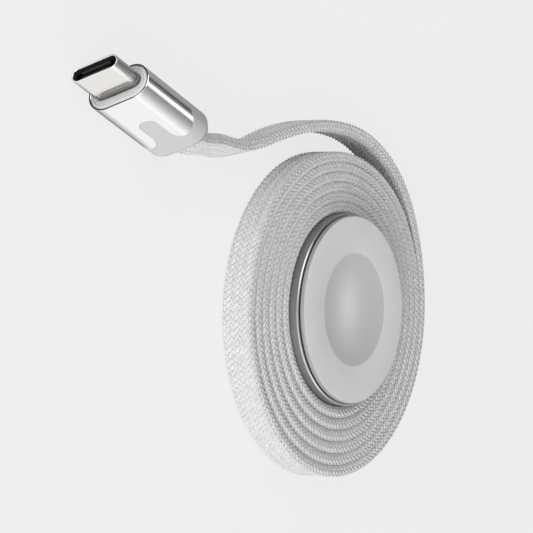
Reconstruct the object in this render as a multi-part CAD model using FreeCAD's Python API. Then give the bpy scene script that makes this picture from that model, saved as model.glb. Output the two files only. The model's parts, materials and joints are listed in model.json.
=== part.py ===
"""Smartwatch charging cable: a flat woven cable wound round its charging disc, ending in an oval plug.

Millimetres. The disc lies flat with its charging face up; the origin is the centre of its base, +Z is
the disc's axis. The cable winds counter-clockwise round the disc, leaves at +X and runs over +Y to the plug.
"""
import FreeCAD
import Part
import math
import os

Vector = FreeCAD.Vector
UP = Vector(0, 0, 1)

# Charging disc: the turned wall
wall_radius = 16.2
wall_thickness = 0.8
wall_chamfer = 0.35
fit_clearance = 0.05

# Charging disc: base cover and its posts
base_setback = 0.4
base_floor = 1.0
base_flange_height = 0.5
base_edge_chamfer = 0.3
base_rim_thickness = 1.0
base_rim_height = 1.2
post_count = 3
post_radius = 1.2
post_inset = 2.4
post_height = 1.5

# Charging disc: board, shield, winding and magnet, from the base upwards
board_edge_gap = 1.6
board_thickness = 0.8
shield_inset = 1.0
shield_hole_radius = 5.1
shield_floor = 0.7
shield_rim_width = 0.7
shield_rim_height = 1.5
winding_rim_gap = 0.4
winding_hole_gap = 0.6
winding_thickness = 1.3
yoke_hole_gap = 0.2
yoke_thickness = 0.5
magnet_inset = 0.2
magnet_thickness = 2.5
magnet_gap = 0.1

# Charging disc: moulded charging face and the seal under its lip
face_setback = 0.4
face_thickness = 1.1
face_edge_chamfer = 0.3
face_lip = 0.7
dish_radius = 9.6
dish_depth = 0.9
seal_thickness = 0.2
seal_setback = 0.15

# Cable: a flat woven band, wound on edge; each turn climbs onto the next layer near its end
cable_width = 5.6
cable_thickness = 1.82
cable_edge_chamfer = 0.5
turn_gap = 0.07
wind_clearance = 0.1
wind_start_angle = 40.0
wind_leave_angle = 370.0
full_turns = 5
climb_share = 2 / 3
climb_power = 6
turn_sag = 0.15

# Cable: moulded grommet where it leaves the wall
grommet_angle = 17.0
grommet_window_width = 3.6
grommet_window_height = 3.0
grommet_flange_lap = 0.8
grommet_flange_rise = 0.4
grommet_flange_thickness = 0.7

# Cable: free stretch from the coil to the plug, in plan, and the share of its rise to the plug at each point
tail_plan = [(26.3, 11.3), (22.8, 19.4), (16.9, 25.8), (9.0, 30.0), (0.0, 31.6), (-9.2, 31.3), (-18.0, 29.9),
             (-26.4, 27.9), (-33.6, 26.0)]
tail_rise = [0.0, 0.0, 0.0, 0.0, 0.0, 0.07, 0.25, 0.51, 0.80]
tail_last_run = 5.5
arc_share = 0.45

# Plug: where it lies, and how far it leans and dips
plug_rear = (-45.7, 28.2)
plug_heading = 156.2
plug_dip = 0.5
plug_lean = 21.0
floor_clearance = 0.02

# Plug: housing
housing_width = 10.8
housing_height = 6.0
housing_length = 18.2
sleeve_wall = 0.35
sleeve_setback = 4.3
tongue_half_width = 1.5
tongue_reach = 6.6
cap_taper_length = 1.4
cap_side_taper = 0.8
cap_face_taper = 0.8
cap_edge_radius = 0.9
front_plate_thickness = 1.2
front_plate_edge = 0.35

# Plug: oval shell, contact carrier and contacts
shell_width = 8.25
shell_height = 2.4
shell_wall = 0.25
shell_reach = 6.6
shell_root = 5.0
shell_edge = 0.1
carrier_recess = 0.5
carrier_root = 4.6
slot_end_wall = 0.425
slot_side_wall = 0.5
slot_depth = 5.8
contact_count = 12
contact_pitch = 0.5
contact_width = 0.25
contact_height = 0.12
contact_length = 4.4
contact_setback = 1.0
latch_width = 0.3
latch_height = 0.5
latch_length = 4.0
spring_margin = 0.95
spring_height = 0.1
spring_length = 0.5

# Plug: board behind the carrier, and the clamp on the cable
plug_board_margin = 1.45
plug_board_thickness = 0.8
plug_board_length = 6.4
clamp_gap = 0.15
clamp_wall = 0.3
clamp_length = 4.5
clamp_setback = 1.6

# Board components: length, width and place on the underside of the board, and how far they hang down
component_boxes = [(5.0, 5.0, -1.0, 2.0), (3.2, 2.6, 6.4, -2.0), (2.0, 1.2, 4.0, 6.0), (2.0, 1.2, 1.0, 7.0),
                   (1.6, 3.4, -7.2, -1.6), (3.0, 3.0, 1.8, -6.4)]
component_height = 1.0

# Heights and radii that follow from the stack
inner_radius = wall_radius - wall_thickness
spigot_radius = inner_radius - fit_clearance
board_radius = inner_radius - board_edge_gap
board_bottom = base_floor + post_height
board_top = board_bottom + board_thickness
shield_radius = board_radius - shield_inset
shield_top = board_top + shield_floor
yoke_radius = shield_hole_radius - yoke_hole_gap
magnet_bottom = board_top + yoke_thickness
magnet_top = magnet_bottom + magnet_thickness
dish_underside = magnet_top + magnet_gap
disc_height = dish_underside + face_thickness + dish_depth
face_radius = wall_radius - face_setback
seal_top = disc_height - face_lip
wall_top = seal_top - seal_thickness

# Winding that follows from the cable
half_thickness = cable_thickness / 2
mid_height = cable_width / 2
turn_pitch = cable_thickness + turn_gap
wind_radius = wall_radius + wind_clearance + half_thickness
leave_share = (wind_leave_angle - wind_start_angle) / 360


def ring(inner, outer, bottom, height):
    """A plain ring on the disc's axis."""
    solid = Part.makeCylinder(outer, height, Vector(0, 0, bottom))
    if inner > 0:
        solid = solid.cut(Part.makeCylinder(inner, height, Vector(0, 0, bottom)))
    return solid


def turned(profile):
    """A solid of revolution about the disc's axis from (radius, height) points."""
    points = [Vector(radius, 0, height) for radius, height in profile]
    wire = Part.makePolygon(points + points[:1])
    return Part.Face(wire).revolve(Vector(0, 0, 0), UP, 360)


def block(width, depth, bottom, height, x=0.0, y=0.0):
    """A box centred at (x, y), standing on a height."""
    return Part.makeBox(width, depth, height, Vector(x - width / 2, y - depth / 2, bottom))


def stadium(width, height, level):
    """A closed wire with straight long sides and half-round ends, across Z."""
    radius = height / 2
    run = width / 2 - radius
    edges = [
        Part.LineSegment(Vector(-run, -radius, level), Vector(run, -radius, level)),
        Part.Arc(Vector(run, -radius, level), Vector(run + radius, 0, level), Vector(run, radius, level)),
        Part.LineSegment(Vector(run, radius, level), Vector(-run, radius, level)),
        Part.Arc(Vector(-run, radius, level), Vector(-run - radius, 0, level), Vector(-run, -radius, level)),
    ]
    return Part.Wire([edge.toShape() for edge in edges])


def oval_bar(width, height, start, length):
    """A bar of stadium section along Z."""
    return Part.Face(stadium(width, height, start)).extrude(Vector(0, 0, length))


def oval_tube(width, height, wall, start, length):
    """A tube of stadium section along Z."""
    inside = oval_bar(width - 2 * wall, height - 2 * wall, start, length)
    return oval_bar(width, height, start, length).cut(inside)


def edges_at_height(solid, height):
    """The edges of a solid that lie wholly at one height."""
    near = 1e-6
    return [edge for edge in solid.Edges
            if abs(edge.BoundBox.ZMin - height) < near and abs(edge.BoundBox.ZMax - height) < near]


# Turned wall of the charging disc, with a window for the grommet
grommet_middle = wind_start_angle - grommet_angle / 2
grommet_turn = FreeCAD.Rotation(UP, grommet_middle)
window_bottom = mid_height - grommet_window_height / 2


def beside_wall(width, height, bottom, start, depth):
    """A box on the radius through the grommet, from one radius outwards."""
    solid = Part.makeBox(depth, width, height, Vector(start, -width / 2, bottom))
    solid.Placement = FreeCAD.Placement(Vector(0, 0, 0), grommet_turn)
    return solid


housing_wall = turned([
    (inner_radius, base_flange_height), (wall_radius, base_flange_height),
    (wall_radius, wall_top - wall_chamfer), (wall_radius - wall_chamfer, wall_top), (inner_radius, wall_top)])
window = beside_wall(grommet_window_width, grommet_window_height, window_bottom,
                     inner_radius / 2, wall_radius)
housing_wall = housing_wall.cut(window)

# Base cover: flange under the wall, rim inside it, posts under the board, room for the grommet's flange
base_radius = wall_radius - base_setback
rim_top = base_floor + base_rim_height
rim_inside = spigot_radius - base_rim_thickness
base_cover = turned([
    (0, 0), (base_radius - base_edge_chamfer, 0), (base_radius, base_edge_chamfer),
    (base_radius, base_flange_height), (spigot_radius, base_flange_height), (spigot_radius, rim_top),
    (rim_inside, rim_top), (rim_inside, base_floor), (0, base_floor)])
post_circle_radius = board_radius - post_inset
for number in range(post_count):
    at = math.radians(grommet_middle + 180 + 360 * number / post_count)
    centre = Vector(post_circle_radius * math.cos(at), post_circle_radius * math.sin(at), base_floor)
    base_cover = base_cover.fuse(Part.makeCylinder(post_radius, post_height, centre))
flange_width = grommet_window_width + 2 * grommet_flange_lap
flange_height = grommet_window_height + 2 * grommet_flange_rise
flange_bottom = mid_height - flange_height / 2
flange_start = inner_radius - grommet_flange_thickness
grommet_depth = wall_thickness + fit_clearance + grommet_flange_thickness
flange_room = beside_wall(flange_width + 2 * fit_clearance, flange_height + 2 * fit_clearance,
                          flange_bottom - fit_clearance, flange_start - fit_clearance, grommet_depth)
base_cover = base_cover.cut(flange_room).removeSplitter()

# Board on the posts, with its parts on the underside
circuit_board = ring(0, board_radius, board_bottom, board_thickness).cut(flange_room)
board_components = Part.makeCompound([
    block(length, width, board_bottom - component_height, component_height, x, y)
    for length, width, x, y in component_boxes])

# Shield cup on the board, the flat winding in it, and the magnet on its steel yoke in the middle
shield_inside = shield_radius - shield_rim_width
shield_rim_top = shield_top + shield_rim_height
ferrite_shield = turned([
    (shield_hole_radius, board_top), (shield_radius, board_top), (shield_radius, shield_rim_top),
    (shield_inside, shield_rim_top), (shield_inside, shield_top), (shield_hole_radius, shield_top)])
charging_winding = ring(shield_hole_radius + winding_hole_gap, shield_inside - winding_rim_gap,
                        shield_top, winding_thickness)
magnet_yoke = ring(0, yoke_radius, board_top, yoke_thickness)
alignment_magnet = ring(0, yoke_radius - magnet_inset, magnet_bottom, magnet_thickness)

# Charging face: a moulded plate seated in the wall, dished to a watch's back, and the seal under its lip
charging_face = turned([
    (0, dish_underside), (spigot_radius, dish_underside), (spigot_radius, seal_top), (face_radius, seal_top),
    (face_radius, disc_height - face_edge_chamfer), (face_radius - face_edge_chamfer, disc_height),
    (0, disc_height)])
dish_sphere_radius = (dish_radius ** 2 + dish_depth ** 2) / (2 * dish_depth)
dish_centre = Vector(0, 0, disc_height - dish_depth + dish_sphere_radius)
level_poles = Vector(1, 0, 0)
charging_face = charging_face.cut(Part.makeSphere(dish_sphere_radius, dish_centre, level_poles))
face_seal = ring(spigot_radius, face_radius - seal_setback, wall_top, seal_thickness)

# Wound cable as one solid of its outer shape, from the first turn's inside to the last turn's outside


def wound_point(turn, share, side):
    """A point of the wound cable in plan: whole turns, share of the next one, side across its thickness."""
    layers = turn + share ** climb_power
    radius = wind_radius + turn_pitch * layers + side
    at = math.radians(wind_start_angle + 360 * share)
    return Vector(radius * math.cos(at), radius * math.sin(at) - turn_sag * layers, 0)


def wound_arc(turn, start, end, side):
    """The ends and middle of one stretch of the wound cable's edge."""
    return [wound_point(turn, share, side) for share in (start, (start + end) / 2, end)]


tail_start = wound_point(full_turns, leave_share, 0)
tail_heading = (Vector(*tail_plan[0], 0) - tail_start).normalize()
tail_outward = tail_heading.cross(UP)
leave_outside = tail_start + tail_outward * half_thickness
leave_corner = tail_start - tail_outward * half_thickness
level_stretch = wound_arc(full_turns, 0, climb_share, half_thickness)
climb_stretch = wound_arc(full_turns, climb_share, leave_share, half_thickness)[:2] + [leave_outside]
under_tail = wound_arc(full_turns - 1, leave_share, 1, half_thickness)
outside = [
    Part.Arc(*level_stretch), Part.Arc(*climb_stretch), Part.LineSegment(leave_outside, leave_corner),
    Part.LineSegment(leave_corner, under_tail[0]), Part.Arc(*under_tail)]
bore_level = wound_arc(0, 0, climb_share, -half_thickness)
bore_climb = wound_arc(0, climb_share, 1, -half_thickness)
bore_arcs = [Part.Arc(*bore_level), Part.Arc(*bore_climb)]
bore = bore_arcs + [Part.LineSegment(bore_climb[2], bore_level[0])]


def upright_prism(outline):
    """A prism of the cable's width on a closed outline in plan."""
    return Part.Face(Part.Wire([edge.toShape() for edge in outline])).extrude(Vector(0, 0, cable_width))


cable_coil = upright_prism(outside).cut(upright_prism(bore))

# Grommet: flange inside the wall, neck through its window, block outside that the cable leaves along the wall
sector_side = 2 * wall_radius
sector_angles = [wind_start_angle - grommet_angle, grommet_middle, wind_start_angle]
sector_points = [Vector(0, 0, 0)]
sector_points += [Vector(sector_side * math.cos(math.radians(a)), sector_side * math.sin(math.radians(a)), 0)
                  for a in sector_angles]
sector = Part.Face(Part.makePolygon(sector_points + sector_points[:1])).extrude(Vector(0, 0, cable_width))
under_cable = bore_arcs[1].toShape().Curve
under_radius = under_cable.Radius - fit_clearance
room = Part.makeCylinder(under_radius, cable_width, Vector(under_cable.Center.x, under_cable.Center.y, 0))
grommet_block = room.common(sector).cut(Part.makeCylinder(wall_radius, cable_width)).cut(cable_coil)
neck_fit = 2 * fit_clearance
neck = beside_wall(grommet_window_width - neck_fit, grommet_window_height - neck_fit,
                   window_bottom + fit_clearance, flange_start, grommet_depth + wind_clearance)
neck = neck.common(Part.makeCylinder(wall_radius, cable_width))
flange = beside_wall(flange_width, flange_height, flange_bottom, flange_start, grommet_depth)
flange = flange.common(Part.makeCylinder(inner_radius, cable_width))
cable_grommet = grommet_block.fuse([neck, flange]).removeSplitter()

# Plug's place: lean about its own axis, dip towards the mouth, lower front edge on the floor
dip = math.radians(plug_dip)
plug_turn = math.radians(plug_heading)
lean = math.radians(plug_lean)
axis = Vector(math.cos(plug_turn) * math.cos(dip), math.sin(plug_turn) * math.cos(dip), -math.sin(dip))
level_side = Vector(math.sin(plug_turn), -math.cos(plug_turn), 0)
upright = level_side.cross(axis)
across = upright * math.cos(lean) + level_side * math.sin(lean)
through = axis.cross(across)
housing_half_run = (housing_width - housing_height) / 2
lowest = housing_half_run * across.z + housing_height / 2 * math.cos(dip)
rear_height = lowest + housing_length * math.sin(dip) + floor_clearance
rear = Vector(*plug_rear, rear_height)
plug_place = FreeCAD.Placement(FreeCAD.Matrix(
    across.x, through.x, axis.x, rear.x,
    across.y, through.y, axis.y, rear.y,
    across.z, through.z, axis.z, rear.z,
    0, 0, 0, 1))

# Free stretch of cable, which meets the plug's rear along the plug's own axis
tail_top = rear - axis * tail_last_run
route = [Vector(tail_start.x, tail_start.y, mid_height)]
for (x, y), share in zip(tail_plan, tail_rise):
    route.append(Vector(x, y, mid_height + share * (tail_top.z - mid_height)))
route += [tail_top, rear]
flat_side = mid_height - cable_edge_chamfer
flat_edge = half_thickness - cable_edge_chamfer
section_corners = [
    (half_thickness, -flat_side), (half_thickness, flat_side), (flat_edge, mid_height),
    (-flat_edge, mid_height), (-half_thickness, flat_side), (-half_thickness, -flat_side),
    (-flat_edge, -mid_height), (flat_edge, -mid_height)]


def flat_band(points, outward):
    """A flat band on edge, along straight runs joined by tangent arcs as large as the runs allow."""
    section_points = [points[0] + outward * side + UP * height for side, height in section_corners]
    section = Part.Face(Part.makePolygon(section_points + section_points[:1]))
    area = section.Area
    pieces = []
    radii = []
    length = 0.0
    here = points[0]
    for before, corner, after in zip(points, points[1:], points[2:]):
        back = before - corner
        on = after - corner
        setback = arc_share * min(back.Length, on.Length)
        back.normalize()
        on.normalize()
        turn = math.pi - back.getAngle(on)
        radius = setback / math.tan(turn / 2)
        pivot = corner + (back + on).normalize() * (radius / math.cos(turn / 2))
        spin = on.cross(back)
        run = corner + back * setback - here
        pieces.append(section.extrude(run))
        section.translate(run)
        pieces.append(section.revolve(pivot, spin, math.degrees(turn)))
        section.rotate(pivot, spin, math.degrees(turn))
        here = corner + on * setback
        length += run.Length + radius * turn
        radii.append(round(radius, 1))
    run = points[-1] - here
    pieces.append(section.extrude(run))
    length += run.Length
    band = pieces[0].fuse(pieces[1:]).removeSplitter()
    volume_share = band.Volume / (area * length)
    print("tail arc radii", radii, "length", round(length, 1), "volume share", round(volume_share, 4))
    return band


cable_tail = flat_band(route, tail_outward)

# Plug housing, along its own Z from the rear: sleeve with two rounded lobes beside a notch on each wide face
sleeve_length = housing_length - sleeve_setback
lobe_radius = (housing_width / 2 - tongue_half_width) / 2
lobe_middle = tongue_half_width + lobe_radius
lobe_level = sleeve_setback + lobe_radius
tip_level = housing_length - tongue_reach - tongue_half_width
beyond = housing_width


def flat(x, z):
    """A point in the plane of the housing's wide faces."""
    return Vector(x, -beyond, z)


sleeve_outline = [
    Part.LineSegment(flat(-beyond, housing_length), flat(beyond, housing_length)),
    Part.LineSegment(flat(beyond, housing_length), flat(beyond, lobe_level)),
    Part.LineSegment(flat(beyond, lobe_level), flat(housing_width / 2, lobe_level)),
    Part.Arc(flat(housing_width / 2, lobe_level), flat(lobe_middle, sleeve_setback),
             flat(tongue_half_width, lobe_level)),
    Part.LineSegment(flat(tongue_half_width, lobe_level), flat(tongue_half_width, tip_level)),
    Part.Arc(flat(tongue_half_width, tip_level), flat(0, tip_level + tongue_half_width),
             flat(-tongue_half_width, tip_level)),
    Part.LineSegment(flat(-tongue_half_width, tip_level), flat(-tongue_half_width, lobe_level)),
    Part.Arc(flat(-tongue_half_width, lobe_level), flat(-lobe_middle, sleeve_setback),
             flat(-housing_width / 2, lobe_level)),
    Part.LineSegment(flat(-housing_width / 2, lobe_level), flat(-beyond, lobe_level)),
    Part.LineSegment(flat(-beyond, lobe_level), flat(-beyond, housing_length)),
]
sleeve_face = Part.Face(Part.Wire([edge.toShape() for edge in sleeve_outline]))
sleeve_region = sleeve_face.extrude(Vector(0, 2 * beyond, 0))
metal_sleeve = oval_tube(housing_width, housing_height, sleeve_wall, sleeve_setback, sleeve_length)
metal_sleeve = metal_sleeve.common(sleeve_region)

# End cap: moulded rear end with a tongue in each notch, round the cable's clamp and the rear of the board
inner_width = housing_width - 2 * sleeve_wall
inner_height = housing_height - 2 * sleeve_wall
cap_front = housing_length - tongue_reach
cap_rear = stadium(housing_width - 2 * cap_side_taper, housing_height - 2 * cap_face_taper, 0)
end_cap = Part.makeLoft([cap_rear, stadium(housing_width, housing_height, cap_taper_length)], True, True)
cap_body = oval_bar(housing_width, housing_height, cap_taper_length, cap_front - cap_taper_length)
end_cap = end_cap.fuse(cap_body)
end_cap = end_cap.removeSplitter()
end_cap = end_cap.makeFillet(cap_edge_radius, edges_at_height(end_cap, cap_taper_length))
carrier_rear = housing_length - carrier_root
plug_board = block(inner_width - 2 * plug_board_margin, plug_board_thickness,
                   carrier_rear - plug_board_length, plug_board_length)
clamp_grip = 2 * (clamp_gap + clamp_wall)
cable_clamp = oval_tube(cable_width + clamp_grip, cable_thickness + clamp_grip, clamp_wall,
                        clamp_setback, clamp_length)
end_cap = end_cap.cut(metal_sleeve).cut(cable_clamp).cut(plug_board)

# Front plate in the sleeve's mouth, round the shell
plate_rear = housing_length - front_plate_thickness
front_plate = oval_bar(inner_width, inner_height, plate_rear, front_plate_thickness)
front_plate = front_plate.makeChamfer(front_plate_edge, edges_at_height(front_plate, housing_length))
front_plate = front_plate.cut(oval_bar(shell_width, shell_height, 0, 2 * housing_length))

# Oval shell, and the carrier inside it with a slot for the socket's tongue
shell_start = housing_length - shell_root
shell_length = shell_root + shell_reach
mouth = housing_length + shell_reach
shell_inside_width = shell_width - 2 * shell_wall
shell_inside_height = shell_height - 2 * shell_wall
plug_shell = oval_bar(shell_width, shell_height, shell_start, shell_length)
plug_shell = plug_shell.makeChamfer(shell_edge, edges_at_height(plug_shell, mouth))
plug_shell = plug_shell.cut(oval_bar(shell_inside_width, shell_inside_height, shell_start, shell_length))
carrier_front = mouth - carrier_recess
slot_width = shell_inside_width - 2 * slot_end_wall
slot_height = shell_inside_height - 2 * slot_side_wall
carrier_length = carrier_front - carrier_rear
contact_carrier = oval_bar(shell_inside_width, shell_inside_height, carrier_rear, carrier_length)
contact_carrier = contact_carrier.cut(block(slot_width, slot_height, carrier_front - slot_depth, slot_depth))

# Contacts on both walls of the slot, latches on its sides, grounding springs by its mouth
contact_start = carrier_front - contact_setback - contact_length
contact_row = [(number - (contact_count - 1) / 2) * contact_pitch for number in range(contact_count)]
contact_level = (slot_height - contact_height) / 2
upper_contacts = Part.makeCompound([
    block(contact_width, contact_height, contact_start, contact_length, x, contact_level)
    for x in contact_row])
lower_contacts = Part.makeCompound([
    block(contact_width, contact_height, contact_start, contact_length, x, -contact_level)
    for x in contact_row])
latch_place = (slot_width - latch_width) / 2
side_latches = Part.makeCompound([
    block(latch_width, latch_height, contact_start, latch_length, side * latch_place, 0) for side in (-1, 1)])
spring_width = slot_width - 2 * spring_margin
spring_level = (slot_height - spring_height) / 2
shield_springs = Part.makeCompound([
    block(spring_width, spring_height, carrier_front - spring_length, spring_length, 0, side * spring_level)
    for side in (-1, 1)])

nodes = {
    "base_cover": base_cover,
    "housing_wall": housing_wall,
    "circuit_board": circuit_board,
    "board_components": board_components,
    "ferrite_shield": ferrite_shield,
    "charging_winding": charging_winding,
    "magnet_yoke": magnet_yoke,
    "alignment_magnet": alignment_magnet,
    "charging_face": charging_face,
    "face_seal": face_seal,
    "cable_grommet": cable_grommet,
    "cable_coil": cable_coil,
    "cable_tail": cable_tail,
}
plug_nodes = {
    "end_cap": end_cap,
    "metal_sleeve": metal_sleeve,
    "front_plate": front_plate,
    "plug_shell": plug_shell,
    "contact_carrier": contact_carrier,
    "upper_contacts": upper_contacts,
    "lower_contacts": lower_contacts,
    "side_latches": side_latches,
    "shield_springs": shield_springs,
    "plug_board": plug_board,
    "cable_clamp": cable_clamp,
}
for name, solid in plug_nodes.items():
    solid.Placement = plug_place.multiply(solid.Placement)
    nodes[name] = solid

os.makedirs("parts", exist_ok=True)
for name, solid in nodes.items():
    solid.exportStep("parts/" + name + ".step")
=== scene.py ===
"""Smartwatch charging cable: finishes, woven cable and plug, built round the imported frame. Metres."""
import json
import math
import bmesh
import bpy
import numpy as np
from mathutils import Matrix, Vector


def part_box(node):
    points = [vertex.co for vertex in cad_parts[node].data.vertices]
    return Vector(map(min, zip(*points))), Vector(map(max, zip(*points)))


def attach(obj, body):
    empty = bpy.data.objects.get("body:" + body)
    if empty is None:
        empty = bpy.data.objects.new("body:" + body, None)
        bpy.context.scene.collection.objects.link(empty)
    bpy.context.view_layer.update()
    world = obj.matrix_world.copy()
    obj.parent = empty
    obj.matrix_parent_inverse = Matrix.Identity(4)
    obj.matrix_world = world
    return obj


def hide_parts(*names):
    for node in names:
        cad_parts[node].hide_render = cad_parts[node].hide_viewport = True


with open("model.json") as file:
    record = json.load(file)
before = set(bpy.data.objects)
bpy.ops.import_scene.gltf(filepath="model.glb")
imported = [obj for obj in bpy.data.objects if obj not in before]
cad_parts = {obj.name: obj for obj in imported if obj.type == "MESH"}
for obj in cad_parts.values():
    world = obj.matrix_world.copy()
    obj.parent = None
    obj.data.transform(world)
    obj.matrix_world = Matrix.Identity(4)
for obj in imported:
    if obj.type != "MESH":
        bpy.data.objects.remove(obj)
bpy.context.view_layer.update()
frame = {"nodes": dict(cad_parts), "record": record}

# Base cover: a shallow moulded plastic cover under the disc. Its flange carries the wall and its rim
# centres it. It is moulded in one piece with a fine spark-eroded surface and a small edge radius.
base_grey = (0.52, 0.52, 0.53)
noise_low, noise_high = 0.3, 0.7


def node_at(tree, kind, **inputs):
    """A shader node with some of its inputs set by name; a colour is given as red, green, blue."""
    node = tree.nodes.new(kind)
    for name, value in inputs.items():
        socket = node.inputs[name.replace("_", " ")]
        socket.default_value = (*value, 1) if socket.type == "RGBA" else value
    return node


def finish_for(name, **surface):
    """A new material with one surface shader, its node tree and that shader."""
    material = bpy.data.materials.new(name)
    material.use_nodes = True
    shader = material.node_tree.nodes["Principled BSDF"]
    for key, value in surface.items():
        shader.inputs[key.replace("_", " ")].default_value = value
    return material, material.node_tree, shader


def object_noise(tree, scale, detail, **mapping):
    """Noise fixed to the piece, in grains per metre, turned or stretched where a mapping is given."""
    place = tree.nodes.new("ShaderNodeTexCoord").outputs["Object"]
    if mapping:
        stretch = node_at(tree, "ShaderNodeMapping", **mapping)
        tree.links.new(place, stretch.inputs["Vector"])
        place = stretch.outputs["Vector"]
    noise = node_at(tree, "ShaderNodeTexNoise", Scale=scale, Detail=detail)
    tree.links.new(place, noise.inputs["Vector"])
    return noise.outputs["Fac"]


def surface_bump(tree, shader, height, strength, depth):
    """Bump on a surface that follows a height."""
    bump = node_at(tree, "ShaderNodeBump", Strength=strength, Distance=depth)
    tree.links.new(height, bump.inputs["Height"])
    tree.links.new(bump.outputs["Normal"], shader.inputs["Normal"])


def fine_grain(tree, shader, scale, depth):
    """The fine grain of a moulded or plated surface; returns its noise."""
    noise = object_noise(tree, scale, detail=4.0)
    surface_bump(tree, shader, noise, strength=0.5, depth=depth)
    return noise


def level_between(tree, driver, start, end, low, high, smooth=False):
    """A level that goes from low to high while what drives it goes from start to end."""
    span = node_at(tree, "ShaderNodeMapRange", From_Min=start, From_Max=end, To_Min=low, To_Max=high)
    span.interpolation_type = "SMOOTHSTEP" if smooth else "LINEAR"
    tree.links.new(driver, span.inputs["Value"])
    return span.outputs["Result"]


def colour_between(tree, driver, start, end, low, high):
    """A colour that goes from low to high while what drives it goes from start to end."""
    ramp = tree.nodes.new("ShaderNodeValToRGB")
    for element, position, colour in zip(ramp.color_ramp.elements, (start, end), (low, high)):
        element.position = position
        element.color = (*colour, 1)
    tree.links.new(driver, ramp.inputs["Fac"])
    return ramp.outputs["Color"]


def vary(tree, shader, noise, colours=None, gloss=None):
    """Lets a surface's colour, its roughness or both follow a noise between two ends."""
    if colours:
        colour = colour_between(tree, noise, noise_low, noise_high, *colours)
        tree.links.new(colour, shader.inputs["Base Color"])
    if gloss:
        roughness = level_between(tree, noise, noise_low, noise_high, *gloss)
        tree.links.new(roughness, shader.inputs["Roughness"])


def tinted(colour, share):
    """A colour made paler or deeper by a share."""
    return tuple(min(1.0, channel * share) for channel in colour)


def moulded_plastic(name, colour, roughness, grain=9000.0, depth=0.00002, spread=0.04):
    """Satin moulding: spark-eroded grain, faint cloudiness in colour and gloss."""
    material, tree, shader = finish_for(name)
    fine_grain(tree, shader, grain, depth)
    cloud = object_noise(tree, scale=220.0, detail=3.0)
    shades = (tinted(colour, 1 - spread / 2), tinted(colour, 1 + spread / 2))
    vary(tree, shader, cloud, shades, (roughness - spread, roughness + spread))
    return material


def dress(piece, *finishes):
    """Gives a piece its finishes, the main one first."""
    piece.data.materials.clear()
    for finish in finishes:
        piece.data.materials.append(finish)


dress(frame["nodes"]["base_cover"], moulded_plastic("base moulding", base_grey, roughness=0.5))

# Inside the disc: the board with its parts, the ferrite cup, the copper winding, the yoke and the magnet.
# They are stacked on the base cover's posts and closed in by the wall and the face.


def mottled_finish(name, low, high, roughness, grain, metallic=0.0):
    """A plain finish, mottled between two shades by its own grain."""
    material, tree, shader = finish_for(name, Metallic=metallic, Roughness=roughness)
    noise = fine_grain(tree, shader, grain, depth=0.00002)
    vary(tree, shader, noise, (low, high))
    return material


laminate = mottled_finish("board laminate", (0.02, 0.14, 0.06), (0.03, 0.2, 0.09), roughness=0.4,
                          grain=4000.0)
chip_epoxy = mottled_finish("chip epoxy", (0.02, 0.02, 0.02), (0.04, 0.04, 0.04), roughness=0.6,
                            grain=9000.0)
ferrite = mottled_finish("sintered ferrite", (0.05, 0.05, 0.05), (0.1, 0.1, 0.1), roughness=0.8,
                         grain=6000.0)
copper = mottled_finish("enamelled copper", (0.5, 0.2, 0.09), (0.7, 0.33, 0.17), roughness=0.35,
                        grain=3000.0, metallic=1.0)
nickel_plate = mottled_finish("nickel plate", (0.62, 0.6, 0.56), (0.7, 0.68, 0.64), roughness=0.25,
                              grain=3000.0, metallic=1.0)
zinc_steel = mottled_finish("zinc plated steel", (0.42, 0.42, 0.43), (0.55, 0.55, 0.55), roughness=0.4,
                            grain=3000.0, metallic=1.0)
disc_finishes = {
    "circuit_board": laminate, "board_components": chip_epoxy, "ferrite_shield": ferrite,
    "charging_winding": copper, "magnet_yoke": zinc_steel, "alignment_magnet": nickel_plate}
for node_name, finish in disc_finishes.items():
    dress(frame["nodes"][node_name], finish)

# Wall of the disc: a turned aluminium ring, satin anodised dark grey, with its top edge polished bright.
# It sits on the base cover's flange, and the cable is wound round it.
wall_low, wall_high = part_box("housing_wall")
flange_top = wall_low.z
wall_radius = wall_high.x
wall_top = wall_high.z
wall_thickness = 0.0008
wall_foot_round = 0.0001
polished_edge = 0.0002
polish_round = 0.00012
polish_slope = 0.3
wall_grey = (0.35, 0.35, 0.355)
edge_grey = (0.48, 0.48, 0.49)
lathe_lines = 9000.0
same_place = 1e-8
sharp_angle = math.radians(40)


def rounded_outline(corners, steps=6):
    """Outline points from (across, along, radius) corners: each corner becomes an arc of its radius."""
    points = []
    count = len(corners)
    for number, (across, along, radius) in enumerate(corners):
        corner = Vector((across, along))
        if radius == 0:
            points.append(corner)
            continue
        before = (Vector(corners[number - 1][:2]) - corner).normalized()
        after = (Vector(corners[(number + 1) % count][:2]) - corner).normalized()
        half_angle = before.angle(after) / 2
        setback = radius / math.tan(half_angle)
        centre = corner + (before + after).normalized() * (radius / math.sin(half_angle))
        start = corner + before * setback - centre
        sweep = start.angle_signed(corner + after * setback - centre)
        for step in range(steps + 1):
            turn = Matrix.Rotation(-sweep * step / steps, 2)
            points.append(centre + turn @ start)
    return points


def placed_piece(name, mesh):
    """A piece from a mesh, which rides on the part."""
    piece = bpy.data.objects.new(name, mesh)
    bpy.context.scene.collection.objects.link(piece)
    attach(piece, "root")
    return piece


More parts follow.
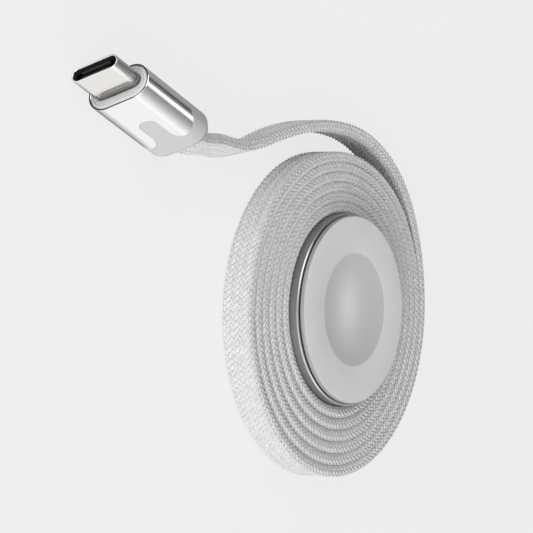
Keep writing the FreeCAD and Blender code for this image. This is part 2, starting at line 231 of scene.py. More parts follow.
def mesh_piece(name, points, faces):
    """A piece from points and faces, with its faces outward, smooth except at sharp edges."""
    mesh = bpy.data.meshes.new(name)
    mesh.from_pydata([tuple(point) for point in points], [], faces)
    mesh.validate()
    shape = bmesh.new()
    shape.from_mesh(mesh)
    bmesh.ops.remove_doubles(shape, verts=shape.verts, dist=same_place)
    bmesh.ops.dissolve_degenerate(shape, edges=shape.edges, dist=same_place)
    bmesh.ops.recalc_face_normals(shape, faces=shape.faces)
    shape.to_mesh(mesh)
    shape.free()
    mesh.shade_smooth()
    mesh.set_sharp_from_angle(angle=sharp_angle)
    return placed_piece(name, mesh)


def turned_piece(name, corners, segments=256):
    """A piece turned about the disc's axis from a closed outline of (radius, height, corner radius)."""
    points = []
    faces = []
    rings = []
    for radius, height in rounded_outline(corners):
        if radius < same_place:
            rings.append([len(points)] * segments)
            points.append((0, 0, height))
            continue
        rings.append(range(len(points), len(points) + segments))
        for number in range(segments):
            angle = 2 * math.pi * number / segments
            points.append((radius * math.cos(angle), radius * math.sin(angle), height))
    for first, second in zip(rings, rings[1:] + rings[:1]):
        for number in range(segments):
            following = (number + 1) % segments
            corner = [first[number], first[following], second[following], second[number]]
            face = list(dict.fromkeys(corner))
            if len(face) > 2:
                faces.append(face)
    return mesh_piece(name, points, faces)


def turned_metal(name, colour, roughness, spread=0.05, paler=1.06):
    """Metal with fine lathe lines round the disc's axis, one above the other."""
    material, tree, shader = finish_for(name, Metallic=1.0)
    lines = object_noise(tree, scale=1.0, detail=3.0, Scale=(30.0, 30.0, lathe_lines))
    surface_bump(tree, shader, lines, strength=0.15, depth=0.00001)
    vary(tree, shader, lines, (colour, tinted(colour, paler)), (roughness - spread, roughness + spread))
    return material


housing_wall = turned_piece("turned_wall", [
    (wall_radius - wall_thickness, flange_top, 0), (wall_radius, flange_top, wall_foot_round),
    (wall_radius, wall_top - polished_edge, polish_round),
    (wall_radius - polished_edge, wall_top, polish_round),
    (wall_radius - wall_thickness, wall_top, 0)])
dress(housing_wall, turned_metal("satin anodised wall", wall_grey, roughness=0.42),
      turned_metal("polished edge", edge_grey, roughness=0.30))
for face in housing_wall.data.polygons:
    if face.center.z > wall_top - polished_edge and face.normal.z > polish_slope:
        face.material_index = 1
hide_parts("housing_wall")

# Seal: a thin black ring of silicone, moulded in one piece. It is pressed between the top of the wall and
# the lip of the face, and stands a little back from both.
seal_low, seal_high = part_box("face_seal")
seal_inside = wall_radius - wall_thickness
seal_round = 0.00006
face_seal = turned_piece("silicone_seal", [
    (seal_inside, seal_low.z, 0), (seal_high.x, seal_low.z, seal_round),
    (seal_high.x, seal_high.z, seal_round), (seal_inside, seal_high.z, 0)])
dress(face_seal, mottled_finish("black silicone", (0.012, 0.012, 0.012), (0.022, 0.022, 0.022),
                                roughness=0.5, grain=5000.0))
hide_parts("face_seal")

# Charging face: a moulded plate with a rounded edge and a shallow spherical dish for the back of a watch.
# It is seated in the wall with its lip on the seal.
face_low, face_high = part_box("charging_face")
face_radius = face_high.x
face_top = face_high.z
face_underside = seal_high.z
lip_round = 0.00005
face_round = 0.0003
lip_slope = 0.88
dish_radius = 0.0096
dish_depth = 0.0009
dish_rings = 28
dish_sphere = (dish_radius ** 2 + dish_depth ** 2) / (2 * dish_depth)
face_white = (0.64, 0.64, 0.645)
lip_shade_grey = (0.27, 0.27, 0.275)
pearl_white = (0.80, 0.80, 0.805)
pearl_gleam = 0.55
face_grain = 12000.0
face_corners = [
    (0.0, face_low.z, 0), (seal_inside, face_low.z, 0), (seal_inside, face_underside, 0),
    (face_radius, face_underside, lip_round), (face_radius, face_top, face_round)]
for ring in range(dish_rings + 1):
    radius = dish_radius * (1 - ring / dish_rings)
    height = face_top - dish_depth + dish_sphere - math.sqrt(dish_sphere ** 2 - radius ** 2)
    face_corners.append((radius, height, 0))
charging_face = turned_piece("dished_face", face_corners)
face_finish = moulded_plastic("charging face moulding", face_white, roughness=0.42, grain=face_grain,
                              depth=0.000008)
lip_shade_finish = moulded_plastic("polished lip with painted shade", lip_shade_grey, roughness=0.25, grain=face_grain, depth=0.000004)
dish_finish = moulded_plastic("pearl dish", pearl_white, roughness=0.28, grain=face_grain, depth=0.000001,
                              spread=0.006)
dish_finish.node_tree.nodes["Principled BSDF"].inputs["Metallic"].default_value = pearl_gleam
dress(charging_face, face_finish, lip_shade_finish, dish_finish)
# The rounded edge gets the glossier lip finish, whose darker grey is painted shade; the dish gets its own
# finish.
for face in charging_face.data.polygons:
    off_axis = math.hypot(face.center.x, face.center.y)
    if face.normal.z < lip_slope and off_axis > dish_radius:
        face.material_index = 1
    elif off_axis < dish_radius and face.normal.z > 0:
        face.material_index = 2
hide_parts("charging_face")

# Grommet: a small soft moulding of light grey rubber, clipped into the wall's window. The cable leaves the
# disc along it, so that it bends round a soft edge.
grommet_grey = (0.55, 0.55, 0.56)
dress(frame["nodes"]["cable_grommet"], moulded_plastic("soft grommet", grommet_grey, roughness=0.6))

# Cable core: a flat plastic jacket over the conductors, extruded in one length. It is wound on edge round
# the wall in six layers, then runs free to the plug, and shows only between the yarns, its grey darkened as
# painted shade.
cable_width = 0.0056
cable_thickness = 0.00197
core_depth = 0.00020
core_rings = 1400
core_sides = 28

# The plug's place, which the cable has to reach: it lies on its narrow side, leaning back.
plug_mount = next(mount for mount in frame["record"]["mounts"] if mount["name"] == "plug")
plug_mouth = Vector(plug_mount["pos_m"])
plug_axis = Vector(plug_mount["axis"]).normalized()
plug_lean = math.radians(21.0)
up = Vector((0, 0, 1))
level_side = plug_axis.cross(up).normalized()
plug_upright = level_side.cross(plug_axis)
plug_across = plug_upright * math.cos(plug_lean) + level_side * math.sin(plug_lean)
housing_length = 0.0182
shell_reach = 0.0066
plug_rear = plug_mouth - plug_axis * (housing_length + shell_reach)

# The cable's line, one smooth spline: the coil's turns by a loop, the free stretch by listed points.
turn_pitch = 0.00189
first_layer = 0.00101
wind_radius = wall_radius + first_layer
wind_start = math.radians(40.0)
climb_power = 6
turn_sag = 0.00015
turn_squeeze = 0.0022
points_per_turn = 24
wound_points = 143
layer_count = 6
mid_height = cable_width / 2
inner_rise = 0.0005
last_run = 0.0025
step_angle = 2 * math.pi / points_per_turn
polygon_share = math.cos(step_angle / 2)
route = []
for number in range(wound_points):
    turn, place = divmod(number, points_per_turn)
    layers = turn + (place / points_per_turn) ** climb_power
    angle = wind_start + step_angle * number
    radius = (wind_radius + turn_pitch * layers) / polygon_share
    squeeze = 1 - turn_squeeze * layers
    height = mid_height + inner_rise * (1 - layers / layer_count)
    route.append((radius * math.cos(angle), radius * math.sin(angle) * squeeze - turn_sag * layers, height))
route += [
    (0.0263, 0.0113, 0.0028), (0.0228, 0.0192, 0.0028), (0.0169, 0.0254, 0.0028), (0.0090, 0.0295, 0.0028),
    (0.0000, 0.0310, 0.0028), (-0.0092, 0.0307, 0.0029), (-0.0180, 0.0291, 0.0031),
    (-0.0250, 0.0271, 0.0032), (-0.0310, 0.0266, 0.0036), (-0.0370, 0.0274, 0.0044)]
route += [tuple(plug_rear - plug_axis * last_run), tuple(plug_rear)]
cable_line = bpy.data.curves.new("cable line", "CURVE")
cable_line.dimensions = "3D"
cable_line.resolution_u = 16
cable_spline = cable_line.splines.new("NURBS")
cable_spline.points.add(len(route) - 1)
for point, place in zip(cable_spline.points, route):
    point.co = (*place, 1)
cable_spline.order_u = 3
cable_spline.use_endpoint_u = True
line_object = bpy.data.objects.new("cable line", cable_line)
line_mesh = bpy.data.meshes.new_from_object(line_object)
line_points = np.array([vertex.co[:] for vertex in line_mesh.vertices])
bpy.data.objects.remove(line_object)


def reach_along(points):
    """How far each of some points lies along the line through them."""
    steps = np.linalg.norm(np.diff(points, axis=0), axis=1)
    return np.concatenate([[0], np.cumsum(steps)])


# The line as a table by length, with the band's width turning from upright to the plug's lean.
line_reach = reach_along(line_points)
cable_length = float(line_reach[-1])
table_count = 3600
table_reach = np.linspace(0, cable_length, table_count)
centre = np.stack([np.interp(table_reach, line_reach, line_points[:, axis]) for axis in range(3)], axis=1)
tangent = np.gradient(centre, table_reach, axis=0)
tangent /= np.linalg.norm(tangent, axis=1, keepdims=True)
twist_start = 0.034
twist_end = 0.005
twist_share = np.clip((table_reach - (cable_length - twist_start)) / (twist_start - twist_end), 0, 1)
twist_share = (twist_share ** 2 * (3 - 2 * twist_share))[:, None]
width_way = np.array(up) * (1 - twist_share) + np.array(plug_across) * twist_share
width_way -= tangent * np.sum(width_way * tangent, axis=1, keepdims=True)
width_way /= np.linalg.norm(width_way, axis=1, keepdims=True)
outward_way = np.cross(tangent, width_way)

# Round the band, from the middle of its upper edge outwards: flat sides and slightly crowned edges. A row
# holds the outward and upward place, and the outward and upward way that the surface faces.
crown_angle = math.radians(25.0)
corner_radius = 0.00016
corner_steps = 16
crown_end = cable_thickness / 2 - corner_radius * (1 - math.sin(crown_angle))
crown_radius = crown_end / math.sin(crown_angle)
crown_middle = cable_width / 2 - crown_radius
corner_out = crown_end - corner_radius * math.sin(crown_angle)
corner_up = crown_middle + (crown_radius - corner_radius) * math.cos(crown_angle)
quarter = []
for step in range(corner_steps + 1):
    angle = crown_angle * step / corner_steps
    outward, upward = math.sin(angle), math.cos(angle)
    quarter.append((crown_radius * outward, crown_middle + crown_radius * upward, outward, upward))
for step in range(1, corner_steps + 1):
    angle = crown_angle + (math.pi / 2 - crown_angle) * step / corner_steps
    outward, upward = math.sin(angle), math.cos(angle)
    quarter.append((corner_out + corner_radius * outward, corner_up + corner_radius * upward,
                    outward, upward))
quarter = np.array(quarter)
outer_half = np.concatenate([quarter, quarter[::-1] * (1, -1, 1, -1)])
inner_half = np.concatenate([quarter[1:] * (-1, -1, -1, -1), quarter[::-1] * (-1, 1, -1, 1)])
band_outline = np.concatenate([outer_half, inner_half])
outline_reach = reach_along(band_outline[:, :2])
band_girth = float(outline_reach[-1])


def on_band(reach, round_place, height):
    """Points on the band: reach along it, place round its girth, and height above its surface."""
    shape = reach.shape
    reach = np.clip(reach.ravel(), 0, cable_length)
    round_place = np.mod(round_place.ravel(), band_girth)
    section = [np.interp(round_place, outline_reach, band_outline[:, column]) for column in range(4)]
    outward = section[0] + section[2] * height.ravel()
    upward = section[1] + section[3] * height.ravel()
    spot = [np.interp(reach, table_reach, centre[:, axis]) for axis in range(3)]
    for axis in range(3):
        spot[axis] += outward * np.interp(reach, table_reach, outward_way[:, axis])
        spot[axis] += upward * np.interp(reach, table_reach, width_way[:, axis])
    return np.stack(spot, axis=1).reshape(*shape, 3)


def quad_piece(name, points, quads, yarn_map=None):
    """A smooth piece from arrays of points and four-cornered faces, with an optional map of its yarns."""
    mesh = bpy.data.meshes.new(name)
    mesh.vertices.add(len(points))
    mesh.vertices.foreach_set("co", points.astype(np.float32).ravel())
    mesh.loops.add(quads.size)
    mesh.loops.foreach_set("vertex_index", quads.astype(np.int32).ravel())
    mesh.polygons.add(len(quads))
    mesh.polygons.foreach_set("loop_start", np.arange(0, quads.size, 4, dtype=np.int32))
    mesh.update(calc_edges=True)
    mesh.validate()
    mesh.shade_smooth()
    if yarn_map is not None:
        layer = mesh.uv_layers.new(name="yarn")
        layer.uv.foreach_set("vector", yarn_map[quads.ravel()].astype(np.float32).ravel())
    return placed_piece(name, mesh)


# The core's mesh: rings along the line, with both ends closed.
ring_reach = np.linspace(0, cable_length, core_rings)
side_place = np.linspace(0, band_girth, core_sides, endpoint=False)
core_points = on_band(np.repeat(ring_reach[:, None], core_sides, 1),
                      np.repeat(side_place[None], core_rings, 0),
                      np.full((core_rings, core_sides), -core_depth)).reshape(-1, 3)
ring_start = (np.arange(core_rings - 1) * core_sides)[:, None]
side = np.arange(core_sides)[None]
side_after = (side + 1) % core_sides
core_quads = np.stack([ring_start + side, ring_start + side_after, ring_start + core_sides + side_after,
                       ring_start + core_sides + side], axis=2).reshape(-1, 4)
across_end = np.arange(core_sides // 2 - 1)
end_quads = np.stack([across_end, across_end + 1, core_sides - 2 - across_end,
                      core_sides - 1 - across_end], axis=1)
core_quads = np.concatenate([end_quads[:, ::-1], core_quads, end_quads + (core_rings - 1) * core_sides])
cable_core = quad_piece("woven_cable", core_points, core_quads)
# The jacket is real, and its darker grey is painted shade between the yarns.
dress(cable_core, mottled_finish("cable jacket with painted shade", (0.38, 0.38, 0.385), (0.44, 0.44, 0.445), roughness=0.9,
                                 grain=5000.0))
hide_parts("cable_coil", "cable_tail")

# Braid: nylon yarns plaited over the core in eighteen columns of slanting floats, neighbours slanting the
# other way and half a stitch on, so that they read as a herringbone. Each float tucks under the next ones.
braid_columns = 18
upper_edge = (16, 17, 0, 1)
lower_edge = (7, 8, 9, 10)
outer_side = (2, 3, 4, 5, 6)
column_gap = band_girth / braid_columns
stitch_aim = 0.00100
stitch_count = round(cable_length / stitch_aim)
stitch_pitch = cable_length / stitch_count
first_stitch = 0.25
half_stitch = 0.5
float_half_length = 0.00069
float_half_width = 0.00035
float_slant = math.radians(38.0)
float_drop = 0.00023
float_taper = 0.35
tip_tuck = 0.6
leaf_rows, leaf_columns = 7, 5
grid_along, grid_across = np.meshgrid(np.linspace(-1, 1, leaf_rows), np.linspace(-1, 1, leaf_columns),
                                      indexing="ij")
float_along = grid_along.ravel()
float_across = grid_across.ravel()
leaf_along = float_along * np.sqrt(1 - float_taper * float_across ** 2) * float_half_length
leaf_across = float_across * np.sqrt(1 - float_taper * float_along ** 2) * float_half_width
leaf_height = -float_drop * (tip_tuck * float_along ** 4 + float_across ** 2)
leaf_first = (np.arange(leaf_rows - 1) * leaf_columns)[:, None] + np.arange(leaf_columns - 1)[None]
leaf_quads = np.stack([leaf_first, leaf_first + leaf_columns, leaf_first + leaf_columns + 1, leaf_first + 1],
                      axis=2).reshape(-1, 4)
leaf_map = np.stack([float_across, float_along], axis=1)
nylon_grey = (0.55, 0.55, 0.552)


def braid_piece(name, columns, start, end):
    """The floats of some columns between two places along the cable, as one piece."""
    points = []
    quads = []
    count = 0
    for column in columns:
        slant = 1 if column % 2 == 0 else -1
        stitches = np.arange(stitch_count) + first_stitch + half_stitch * (column % 2)
        reach = stitches * stitch_pitch
        reach = reach[(reach >= start) & (reach < end)]
        along = leaf_along * math.cos(float_slant) - leaf_across * math.sin(float_slant)
        sideways = leaf_along * math.sin(float_slant) + leaf_across * math.cos(float_slant)
        middle = (column + 0.5) * column_gap
        spots = on_band(reach[:, None] + along[None],
                        np.repeat((middle + slant * sideways)[None], len(reach), 0),
                        np.repeat(leaf_height[None], len(reach), 0)).reshape(-1, 3)
        faces = leaf_quads if slant < 0 else leaf_quads[:, ::-1]
        starts = count + np.arange(len(reach)) * len(leaf_along)
        quads.append((starts[:, None, None] + faces[None]).reshape(-1, 4))
        points.append(spots)
        count += len(spots)
    all_points = np.concatenate(points)
    yarn_map = np.tile(leaf_map, (len(all_points) // len(leaf_map), 1))
    return quad_piece(name, all_points, np.concatenate(quads), yarn_map)


def woven_yarn(name, colour, sheen, deeper=0.92, paler=1.06):
    """Woven nylon: filaments along each yarn, mottled tone, a soft sheen."""
    material, tree, shader = finish_for(name, Roughness=0.8, Sheen_Weight=sheen, Sheen_Roughness=0.5,
                                        Specular_IOR_Level=0.25)
    mottle = object_noise(tree, scale=900.0, detail=2.0)
    vary(tree, shader, mottle, (tinted(colour, deeper), tinted(colour, paler)))
    yarn_place = tree.nodes.new("ShaderNodeUVMap")
    yarn_place.uv_map = "yarn"
    filaments = node_at(tree, "ShaderNodeTexWave", Scale=2.2, Distortion=1.2, Detail=2.0)
    tree.links.new(yarn_place.outputs["UV"], filaments.inputs["Vector"])
    surface_bump(tree, shader, filaments.outputs["Fac"], strength=0.35, depth=0.00004)
    return material


# The inner side shows only where the band runs free, and the outer side only on the last turn and after it.
free_before = 0.018
turn_margin = 1.12
leave_place = np.array(route[wound_points - 1])
coil_length = float(table_reach[np.argmin(np.linalg.norm(centre - leave_place, axis=1))])
last_turn_length = 2 * math.pi * (wind_radius + (layer_count - 1) * turn_pitch) * turn_margin
free_start = coil_length - free_before
braid_pieces = [
    braid_piece("braid_upper_edge", upper_edge, float_half_length, free_start),
    braid_piece("braid_lower_edge", lower_edge, float_half_length, free_start),
    braid_piece("braid_outer_side", outer_side, coil_length - last_turn_length, free_start),
    braid_piece("braid_free_stretch", range(braid_columns), free_start, cable_length - float_half_length)]
nylon = woven_yarn("woven nylon", nylon_grey, sheen=0.2)
for piece in braid_pieces:
    dress(piece, nylon)

# Inside the plug: a black moulded carrier with a slot between two rows of stamped, gold plated contacts.
# Steel latches and blackened springs are pressed in beside it. A small board and a crimped clamp sit behind.
carrier_black = (0.003, 0.003, 0.003)
carrier_gleam = 0.1
carrier_finish = moulded_plastic("black carrier", carrier_black, roughness=0.7)
carrier_finish.node_tree.nodes["Principled BSDF"].inputs["Specular IOR Level"].default_value = carrier_gleam
gold_plate = mottled_finish("gold plate", (0.75, 0.5, 0.18), (0.85, 0.62, 0.28), roughness=0.25,
                            grain=5000.0, metallic=1.0)
plug_finishes = {
    "contact_carrier": carrier_finish, "upper_contacts": gold_plate, "lower_contacts": gold_plate,
    "side_latches": zinc_steel, "shield_springs": chip_epoxy, "plug_board": laminate,
    "cable_clamp": zinc_steel}
for node_name, finish in plug_finishes.items():
    dress(frame["nodes"][node_name], finish)

# End cap: the plug's moulded rear end, light grey and satin, tapering to the cable. A tongue on each wide
# face reaches forward into the metal sleeve's notch.
housing_width = 0.0108
housing_height = 0.0060
sleeve_wall = 0.00035
sleeve_setback = 0.0043
tongue_half_width = 0.0015
tongue_reach = 0.0066
tongue_round = 0.00004
lobe_radius = (housing_width / 2 - tongue_half_width) / 2
lobe_middle = tongue_half_width + lobe_radius
lobe_level = sleeve_setback + lobe_radius
tip_level = housing_length - tongue_reach - tongue_half_width
joint_gap = 0.00002
cap_taper = 0.0008
cap_taper_length = 0.0014
cap_round = 0.0009
cap_rear_step = 0.0005
cap_rear_round = 0.0003
cap_body_gap = 0.0006
cap_body_end = sleeve_setback - cap_body_gap
cap_wall = 0.0006
cap_floor = 0.0024
cap_grey = (0.43, 0.43, 0.435)
plug_through = plug_axis.cross(plug_across)


def in_plug(across, through, along):
    """A point from the plug's own frame, measured from the middle of its rear."""
    return plug_rear + plug_across * across + plug_through * through + plug_axis * along


def oval_point(width, height, share, inset=0.0):
    """A point round a stadium section at a share of its girth, from the middle of one wide face."""
    radius = height / 2
    run = width / 2 - radius
    girth = 4 * run + 2 * math.pi * radius
    place = (share % 1.0) * girth
    for across_sign, through_sign in ((1, 1), (-1, -1)):
        if place <= run:
            return across_sign * place, through_sign * (radius - inset)
        place -= run
        if place <= math.pi * radius:
            angle = place / radius
            reach = radius - inset
            return across_sign * (run + reach * math.sin(angle)), through_sign * reach * math.cos(angle)
        place -= math.pi * radius
        if place <= run:
            return across_sign * (run - place), -through_sign * (radius - inset)
        place -= run
    return 0.0, radius - inset


def oval_piece(name, width, height, columns, filled=False):
    """A piece of stadium section from columns of (share, rows of inset and place along the plug).

    Each column closes on itself, or is left open with both ends of the piece filled.
    """
    points = []
    for share, rows in columns:
        for inset, along in rows:
            points.append(in_plug(*oval_point(width, height, share, inset), along))
    faces = []
    column_count = len(columns)
    row_count = len(points) // column_count
    for column in range(column_count):
        following = (column + 1) % column_count
        for row in range(row_count - 1 if filled else row_count):
            after = (row + 1) % row_count
            faces.append([column * row_count + row, following * row_count + row,
                          following * row_count + after, column * row_count + after])
    if filled:
        faces.append(list(range(0, len(points), row_count))[::-1])
        faces.append(list(range(row_count - 1, len(points), row_count)))
    return mesh_piece(name, points, faces)


def joint_level(across, tongue, gap):
    """The level of the joint between cap and sleeve for a column on the tongue or beside it."""
    reach = abs(across)
    if tongue:
        return tip_level + math.sqrt(max(0.0, (tongue_half_width - gap) ** 2 - reach ** 2))
    lobe = (lobe_radius + gap) ** 2 - (reach - lobe_middle) ** 2
    return lobe_level - math.sqrt(max(0.0, lobe))


def joint_columns(gap, flat_steps=8, round_steps=32):
    """The joint's columns as (share of the girth, level), with two at each side of the tongue."""
    radius = housing_height / 2
    run = housing_width / 2 - radius
    girth = 4 * run + 2 * math.pi * radius
    edge = tongue_half_width - gap
    places = [(edge * math.sin(math.pi / 2 * step / flat_steps), True) for step in range(flat_steps + 1)]
    places += [(edge + (run - edge) * step / flat_steps, False) for step in range(flat_steps + 1)]
    quarter_arc = radius * math.pi / 2
    places += [(run + quarter_arc * step / round_steps, False) for step in range(1, round_steps + 1)]
    half = places + [(girth / 2 - place, tongue) for place, tongue in reversed(places[:-1])]
    whole = half + [(girth / 2 + place, tongue) for place, tongue in half[1:-1]]
    columns = []
    for place, tongue in whole:
        across = oval_point(housing_width, housing_height, place / girth)[0]
        columns.append((place / girth, joint_level(across, tongue, gap)))
    return columns


cap_profile = rounded_outline([
    (cap_taper + cap_rear_step, 0.0, 0), (cap_taper, 0.0, cap_rear_round),
    (0.0, cap_taper_length, cap_round), (0.0, sleeve_setback, 0)])[1:-1]
cap_columns = []
for share, level in joint_columns(joint_gap):
    cap_columns.append((share, cap_profile + [
        (0.0, cap_body_end), (0.0, level - tongue_round), (tongue_round, level), (sleeve_wall, level),
        (sleeve_wall + cap_wall, level), (sleeve_wall + cap_wall, cap_floor)]))
end_cap = oval_piece("moulded_end_cap", housing_width, housing_height, cap_columns,
                     filled=True)
dress(end_cap, moulded_plastic("end cap moulding", cap_grey, roughness=0.42, depth=0.00001))
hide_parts("end_cap")

# Sleeve: a drawn aluminium tube, polished, pressed over the end cap. Its rear edge has two round lobes
# beside a notch on each wide face, cut before it is polished.
edge_round = 0.00006
notch_margin = 0.0020
mouth_depth = 0.0012
sleeve_white = (0.92, 0.92, 0.925)
front_edge_shade_grey = (0.10, 0.10, 0.102)
facing_front = 0.9
sleeve_columns = []
for share, level in joint_columns(0.0):
    sleeve_columns.append((share, [
        (sleeve_wall, level), (edge_round, level), (0.0, level + edge_round),
        (0.0, tip_level + notch_margin), (0.0, housing_length - edge_round), (edge_round, housing_length),
        (sleeve_wall - edge_round, housing_length), (sleeve_wall, housing_length - edge_round),
        (sleeve_wall, housing_length - mouth_depth)]))
metal_sleeve = oval_piece("polished_sleeve", housing_width, housing_height, sleeve_columns)


def drawn_metal(name, roughness, spread=0.04):
    """Polished metal with faint drawing lines along the plug: its material, tree, shader and lines."""
    material, tree, shader = finish_for(name, Metallic=1.0)
    along_plug = (0.0, 0.0, -math.atan2(plug_axis.y, plug_axis.x))
    lines = object_noise(tree, scale=1.0, detail=3.0, Rotation=along_plug, Scale=(60.0, 4000.0, 4000.0))
    vary(tree, shader, lines, gloss=(roughness - spread, roughness + spread))
    return material, tree, shader, lines


def drawn_aluminium(name, colour, roughness, paler=1.03):
    """Drawn aluminium, a little paler along some of its lines."""
    material, tree, shader, lines = drawn_metal(name, roughness)
    vary(tree, shader, lines, (colour, tinted(colour, paler)))
    return material


dress(metal_sleeve, drawn_aluminium("polished aluminium", sleeve_white, roughness=0.17),
      drawn_aluminium("front edge painted shade", front_edge_shade_grey, roughness=0.3))
# The sleeve's front edge round the plate is painted near black: painted shade of the gap between sleeve and
# plate.
for face in metal_sleeve.data.polygons:
    if face.normal.dot(plug_axis) > facing_front:
        face.material_index = 1
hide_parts("metal_sleeve")

# Front plate: a light satin moulding with a rounded edge and a fine groove, pressed into the sleeve's mouth.
# The shell stands out through its oval hole.
inner_width = housing_width - 2 * sleeve_wall
inner_height = housing_height - 2 * sleeve_wall
shell_width = 0.00825
shell_height = 0.0024
plate_back = housing_length - mouth_depth
plate_proud = 0.00005
plate_front = housing_length + plate_proud
plate_edge = 0.0003
plate_hole = (inner_height - shell_height) / 2
hole_round = 0.00008
groove_start = 0.00042
groove_width = 0.00018
groove_depth = 0.00008
groove_slope = 0.00004
groove_end = groove_start + groove_width
groove_floor = plate_front - groove_depth
plate_white = (0.50, 0.50, 0.50)


def even_columns(corners, count=128):
    """One rounded outline, repeated at even shares of an oval's girth."""
    outline = rounded_outline(corners)
    return [(number / count, outline) for number in range(count)]


plate_columns = even_columns([
    (0.0, plate_back, 0), (0.0, plate_front, plate_edge), (groove_start, plate_front, 0),
    (groove_start + groove_slope, groove_floor, 0), (groove_end - groove_slope, groove_floor, 0),
    (groove_end, plate_front, 0), (plate_hole, plate_front, hole_round), (plate_hole, plate_back, 0)])
front_plate = oval_piece("front_plate_moulding", inner_width, inner_height, plate_columns)
dress(front_plate, moulded_plastic("front plate moulding", plate_white, roughness=0.35, depth=0.000002,
                                   spread=0.02))
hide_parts("front_plate")

# Shell: an oval steel shell, deep drawn and nickel plated, with a rounded lip at its mouth. It is held by
# its root in the housing. Near the plate its colour darkens to a brown-grey, which is painted shade.
shell_wall = 0.00025
root_length = 0.0050
shell_root = housing_length - root_length
shell_mouth = housing_length + shell_reach
outer_lip_round = 0.0001
inner_lip_round = 0.00012
nickel_tone = (0.84, 0.825, 0.80)
root_painted_shade = (0.15, 0.143, 0.13)
painted_shade_reach = 0.0026
shell_columns = even_columns([
    (0.0, shell_root, 0), (0.0, shell_mouth, outer_lip_round), (shell_wall, shell_mouth, inner_lip_round),
    (shell_wall, shell_root, 0)])
plug_shell = oval_piece("nickel_shell", shell_width, shell_height, shell_columns)


def reach_towards(tree, place, direction):
    """How far a place or a way of looking goes along a direction."""
    reach = tree.nodes.new("ShaderNodeVectorMath")
    reach.operation = "DOT_PRODUCT"
    reach.inputs[1].default_value = direction
    tree.links.new(place, reach.inputs[0])
    return reach.outputs["Value"]


nickel, nickel_tree, nickel_shader = drawn_metal("nickel plated shell", roughness=0.15)[:3]
# Painted shade: the nickel's colour darkens towards the plate, standing in for the dark the plating mirrors
# there.
painted_shade_start = plug_axis.dot(in_plug(0, 0, housing_length))
nickel_place = nickel_tree.nodes.new("ShaderNodeTexCoord").outputs["Object"]
nickel_along = reach_towards(nickel_tree, nickel_place, plug_axis)
painted_shade_end = painted_shade_start + painted_shade_reach
clear_of_painted_shade = level_between(nickel_tree, nickel_along, painted_shade_start, painted_shade_end, 0.0, 1.0, smooth=True)
nickel_with_painted_shade = colour_between(nickel_tree, clear_of_painted_shade, 0.0, 1.0, root_painted_shade, nickel_tone)
nickel_tree.links.new(nickel_with_painted_shade, nickel_shader.inputs["Base Color"])
dress(plug_shell, nickel)
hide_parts("plug_shell")

# Floor: a plain pale paper sheet of the studio, laid flat under the part, which keeps its soft shadow.
# Polished metal mirrors it as a lit sheet, dark where the part touches it and grey behind the plug.
floor_half = 4.0
floor_tone = (0.864, 0.864, 0.864)
glow_seen = 0.9
glow_mirrored = 0.95
contact_reach = 0.008
shut_in, wide_open = 0.35, 0.95
mirror_level = 1.12
level_behind = 0.36
behind_from, behind_to = 0.0094, 0.0154
floor_mesh = bpy.data.meshes.new("studio_floor")
floor_mesh.from_pydata([(-floor_half, -floor_half, 0), (floor_half, -floor_half, 0),
                        (floor_half, floor_half, 0), (-floor_half, floor_half, 0)], [], [(0, 1, 2, 3)])
floor = bpy.data.objects.new("studio_floor", floor_mesh)
bpy.context.scene.collection.objects.link(floor)


def product_of(tree, first, second):
    """The product of two levels."""
    product = tree.nodes.new("ShaderNodeMath")
    product.operation = "MULTIPLY"
    tree.links.new(first, product.inputs[0])
    tree.links.new(second, product.inputs[1])
    return product.outputs["Value"]


sheet, sheet_tree, sheet_shader = finish_for("studio sheet", Roughness=0.9, Specular_IOR_Level=0.1)
sheet_shader.inputs["Base Color"].default_value = (*floor_tone, 1)
ray_kind = sheet_tree.nodes.new("ShaderNodeLightPath")
glow = node_at(sheet_tree, "ShaderNodeEmission", Color=floor_tone)
openness = node_at(sheet_tree, "ShaderNodeAmbientOcclusion", Distance=contact_reach)
open_share = level_between(sheet_tree, openness.outputs["AO"], shut_in, wide_open, 0.0, 1.0)
sheet_place = sheet_tree.nodes.new("ShaderNodeNewGeometry").outputs["Position"]
how_far_behind = reach_towards(sheet_tree, sheet_place, level_side)
open_level = level_between(sheet_tree, how_far_behind, behind_from, behind_to, mirror_level, level_behind)
glow_gain = sheet_tree.nodes.new("ShaderNodeMix")
glow_gain.inputs["A"].default_value = 1.0
sheet_tree.links.new(ray_kind.outputs["Is Glossy Ray"], glow_gain.inputs["Factor"])
sheet_tree.links.new(product_of(sheet_tree, open_share, open_level), glow_gain.inputs["B"])
sheet_tree.links.new(glow_gain.outputs["Result"], glow.inputs["Strength"])
glow_share = None
ray_shares = {"Is Camera Ray": glow_seen, "Is Glossy Ray": glow_mirrored, "Is Transmission Ray": glow_seen}
for ray, share in ray_shares.items():
    sum_so_far = sheet_tree.nodes.new("ShaderNodeMath")
    sum_so_far.operation = "MULTIPLY_ADD"
    sum_so_far.inputs[1].default_value = share
    sum_so_far.inputs[2].default_value = 0.0
    sheet_tree.links.new(ray_kind.outputs[ray], sum_so_far.inputs[0])
    if glow_share:
        sheet_tree.links.new(glow_share, sum_so_far.inputs[2])
    glow_share = sum_so_far.outputs["Value"]
mixed = sheet_tree.nodes.new("ShaderNodeMixShader")
sheet_tree.links.new(glow_share, mixed.inputs["Fac"])
sheet_tree.links.new(sheet_shader.outputs["BSDF"], mixed.inputs[1])
sheet_tree.links.new(glow.outputs["Emission"], mixed.inputs[2])
sheet_tree.links.new(mixed.outputs["Shader"], sheet_tree.nodes["Material Output"].inputs["Surface"])
floor_mesh.materials.append(sheet)

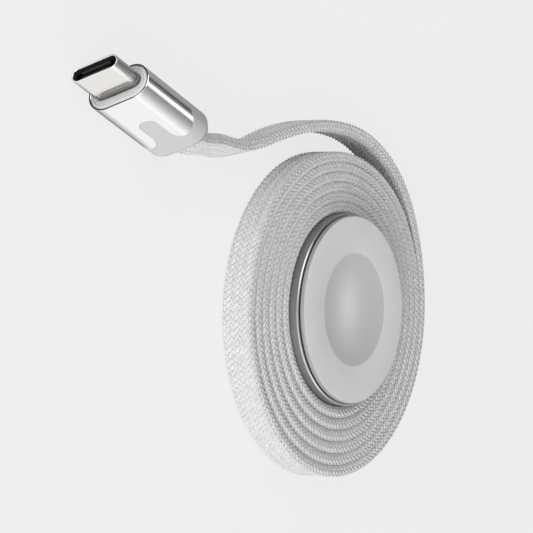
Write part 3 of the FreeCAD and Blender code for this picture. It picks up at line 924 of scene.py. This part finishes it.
# Light: a pale studio, brighter towards -X and -Y and dimmer overhead, with a dark flag and a bright card
# for the metal to mirror. Four soft lamps stand in it: a broad key and a side lamp, a small one behind the
# part, and a very small one over the plug, which draws the streak along its sleeve.
bright_way = Vector((-0.8, -0.6, 0.0))
bright_side = 1.85
dim_side = 0.36
dim_until = -0.6
overhead_level = 0.22
flag_way = Vector((0.877, 0.223, 0.399)).normalized()
flag_level = 0.15
flag_core = math.radians(3)
flag_edge = math.radians(7)
card_way = Vector((0.10, -0.85, 0.52)).normalized()
card_level = 3.0
card_core = math.radians(8)
card_edge = math.radians(14)
part_middle = Vector((-0.01, 0.005, 0.003))
streak_spot = in_plug(0.005, 0, 0.011)
studio = bpy.data.worlds.new("studio")
bpy.context.scene.world = studio
studio.use_nodes = True
studio_tree = studio.node_tree
looked_way = studio_tree.nodes.new("ShaderNodeTexCoord").outputs["Generated"]


def studio_level(direction, start, end, low, high, smooth=False):
    """A level that changes with how nearly the looked-at way lies along a direction."""
    nearness = reach_towards(studio_tree, looked_way, direction)
    return level_between(studio_tree, nearness, start, end, low, high, smooth)


level = studio_level(bright_way, dim_until, 1.0, dim_side, bright_side)
level = product_of(studio_tree, level, studio_level(up, 0.0, 1.0, 1.0, overhead_level))
spots = ((flag_way, flag_edge, flag_core, flag_level), (card_way, card_edge, card_core, card_level))
for direction, edge, core, core_level in spots:
    spot = studio_level(direction, math.cos(edge), math.cos(core), 1.0, core_level, smooth=True)
    level = product_of(studio_tree, level, spot)
studio_tree.links.new(level, studio_tree.nodes["Background"].inputs["Strength"])
studio_tree.nodes["Background"].inputs["Color"].default_value = (1, 1, 1, 1)


def soft_lamp(name, place, wide, tall, power, roll=0.0, aimed_at=part_middle):
    """A flat area lamp that looks at a place, rolled about its own axis."""
    lamp = bpy.data.lights.new(name, "AREA")
    lamp.shape = "RECTANGLE"
    lamp.size = wide
    lamp.size_y = tall
    lamp.energy = power
    holder = bpy.data.objects.new(name, lamp)
    holder.location = place
    aim = (aimed_at - Vector(place)).to_track_quat("-Z", "Y")
    holder.rotation_euler = (aim.to_matrix() @ Matrix.Rotation(roll, 3, "Z")).to_euler()
    bpy.context.scene.collection.objects.link(holder)


soft_lamp("key lamp", (-0.80, -0.55, 0.24), wide=1.2, tall=0.44, power=7.0)
soft_lamp("side lamp", (-0.48, 0.66, 0.66), wide=0.9, tall=0.75, power=4.8)
soft_lamp("back lamp", (0.783, -0.04, 0.470), wide=0.12, tall=0.16, power=0.064)
soft_lamp("streak lamp", (0.0361, 0.0221, 0.0864), wide=0.036, tall=0.03, power=0.0033,
          roll=math.radians(-20.0), aimed_at=streak_spot)

# Camera: a long lens on the -X side, about 33 degrees above the floor, rolled so that the disc stands up in
# the picture. Its focal length is given in pixels of the square picture.
camera_place = Vector((-0.42272, 0.01804, 0.26904))
camera_back = Vector((-0.8351, 0.0216, 0.5498)).normalized()
picture_right = Vector((0.5498, -0.0054, 0.8352))
camera_up = camera_back.cross(picture_right).normalized()
camera_right = camera_up.cross(camera_back)
image_side = 533
focal_pixels = 2957.1
camera_data = bpy.data.cameras.new("camera")
camera_data.sensor_width = 36.0
camera_data.lens = camera_data.sensor_width * focal_pixels / image_side
camera = bpy.data.objects.new("camera", camera_data)
camera.matrix_world = Matrix((
    (camera_right.x, camera_up.x, camera_back.x, camera_place.x),
    (camera_right.y, camera_up.y, camera_back.y, camera_place.y),
    (camera_right.z, camera_up.z, camera_back.z, camera_place.z),
    (0, 0, 0, 1)))
bpy.context.scene.collection.objects.link(camera)
bpy.context.scene.camera = camera
bpy.context.scene.view_settings.view_transform = "Standard"
